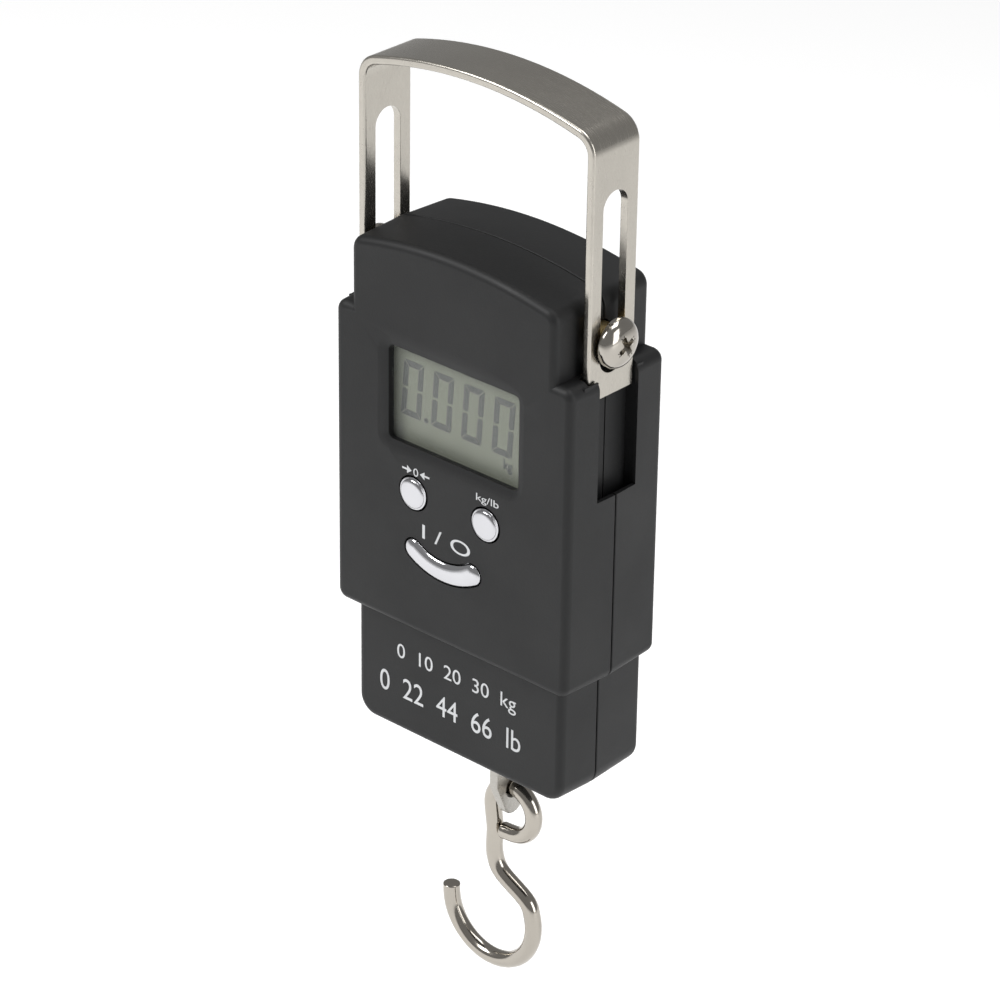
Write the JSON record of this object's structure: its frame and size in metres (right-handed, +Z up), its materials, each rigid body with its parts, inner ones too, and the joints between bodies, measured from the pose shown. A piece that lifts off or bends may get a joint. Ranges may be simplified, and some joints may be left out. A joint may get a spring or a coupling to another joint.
{
  "type": "digital hanging scale",
  "caption": "Hand-held digital hanging scale: sliding strap handle, plastic case with screen and push buttons, wire hook on a load cell.",
  "frame": {"origin": "underside of the grip at its middle, where a hand or a peg holds the scale", "axes": "+Z up along the line from hook to grip, -Y the front with the screen, +X to the right when facing the front"},
  "size_m": [0.0668, 0.0277, 0.2037],
  "materials": {
    "case_plastic": "fine matte charcoal moulding",
    "strap_nickel": "satin nickel plated strip",
    "screw_nickel": "bright nickel",
    "hook_nickel": "bright nickel wire",
    "button_chrome": "bright plated",
    "lens_clear": "clear sheet",
    "lcd_glass": "grey-green screen",
    "elastomer": "dark rubber strip",
    "board_green": "green board",
    "black_plastic": "black moulding",
    "aluminium_parts": "milled",
    "bush_brass": "turned",
    "gauge_film": "thin film",
    "battery_can": "printed sleeve over a can",
    "steel_parts": "plain zinc plated"
  },
  "bodies": {
    "handle": {"handle_strap": "strap_nickel"},
    "housing": {"front_shell": "case_plastic", "rear_shell": "case_plastic", "display_lens": "lens_clear", "lcd_panel": "lcd_glass", "display_connector": "elastomer", "main_board": "board_green", "processor_chip": "black_plastic", "memory_chip": "black_plastic", "tare_switch": "steel_parts", "unit_switch": "steel_parts", "power_switch": "steel_parts", "anchor_bar": "aluminium_parts", "handle_bush_left": "bush_brass", "handle_screw_left": "screw_nickel", "handle_bush_right": "bush_brass", "handle_screw_right": "screw_nickel", "load_cell": "aluminium_parts", "strain_gauge_left": "gauge_film", "strain_gauge_right": "gauge_film", "load_cell_bolt": "steel_parts", "hook_link": "steel_parts", "link_pin": "steel_parts", "battery_left": "battery_can", "battery_tray_left": "black_plastic", "battery_contact_left": "steel_parts", "battery_spring_left": "steel_parts", "battery_right": "battery_can", "battery_tray_right": "black_plastic", "battery_contact_right": "steel_parts", "battery_spring_right": "steel_parts", "shell_screw_upper_left": "steel_parts", "shell_screw_upper_right": "steel_parts", "shell_screw_lower_left": "steel_parts", "shell_screw_lower_right": "steel_parts", "gauge_cable": "black_plastic", "battery_cable": "gauge_film"},
    "hook": {"hook": "hook_nickel"},
    "tare_button": {"tare_button": "button_chrome"},
    "unit_button": {"unit_button": "button_chrome"},
    "power_button": {"power_button": "button_chrome"},
    "battery_door": {"battery_door": "case_plastic"}
  },
  "joints": [
    {"name": "handle_slide", "type": "slide", "parent": "handle", "child": "housing", "axis": [0, 0, 1], "range_m": [-0.0029, 0.027]},
    {"name": "hook_swing", "type": "hinge", "parent": "housing", "child": "hook", "pos_m": [0, 0.00688, -0.1569], "axis": [1, 0, 0], "range_deg": [-80, 80]},
    {"name": "tare_press", "type": "slide", "parent": "housing", "child": "tare_button", "axis": [0, 1, 0], "range_m": [0, 0.0008], "stiffness_N_per_m": 300},
    {"name": "unit_press", "type": "slide", "parent": "housing", "child": "unit_button", "axis": [0, 1, 0], "range_m": [0, 0.0008], "stiffness_N_per_m": 300},
    {"name": "power_press", "type": "slide", "parent": "housing", "child": "power_button", "axis": [0, 1, 0], "range_m": [0, 0.0008], "stiffness_N_per_m": 300},
    {"name": "battery_door_lift", "type": "slide", "parent": "housing", "child": "battery_door", "axis": [0, 1, 0], "range_m": [0, 0.018]}
  ]
}
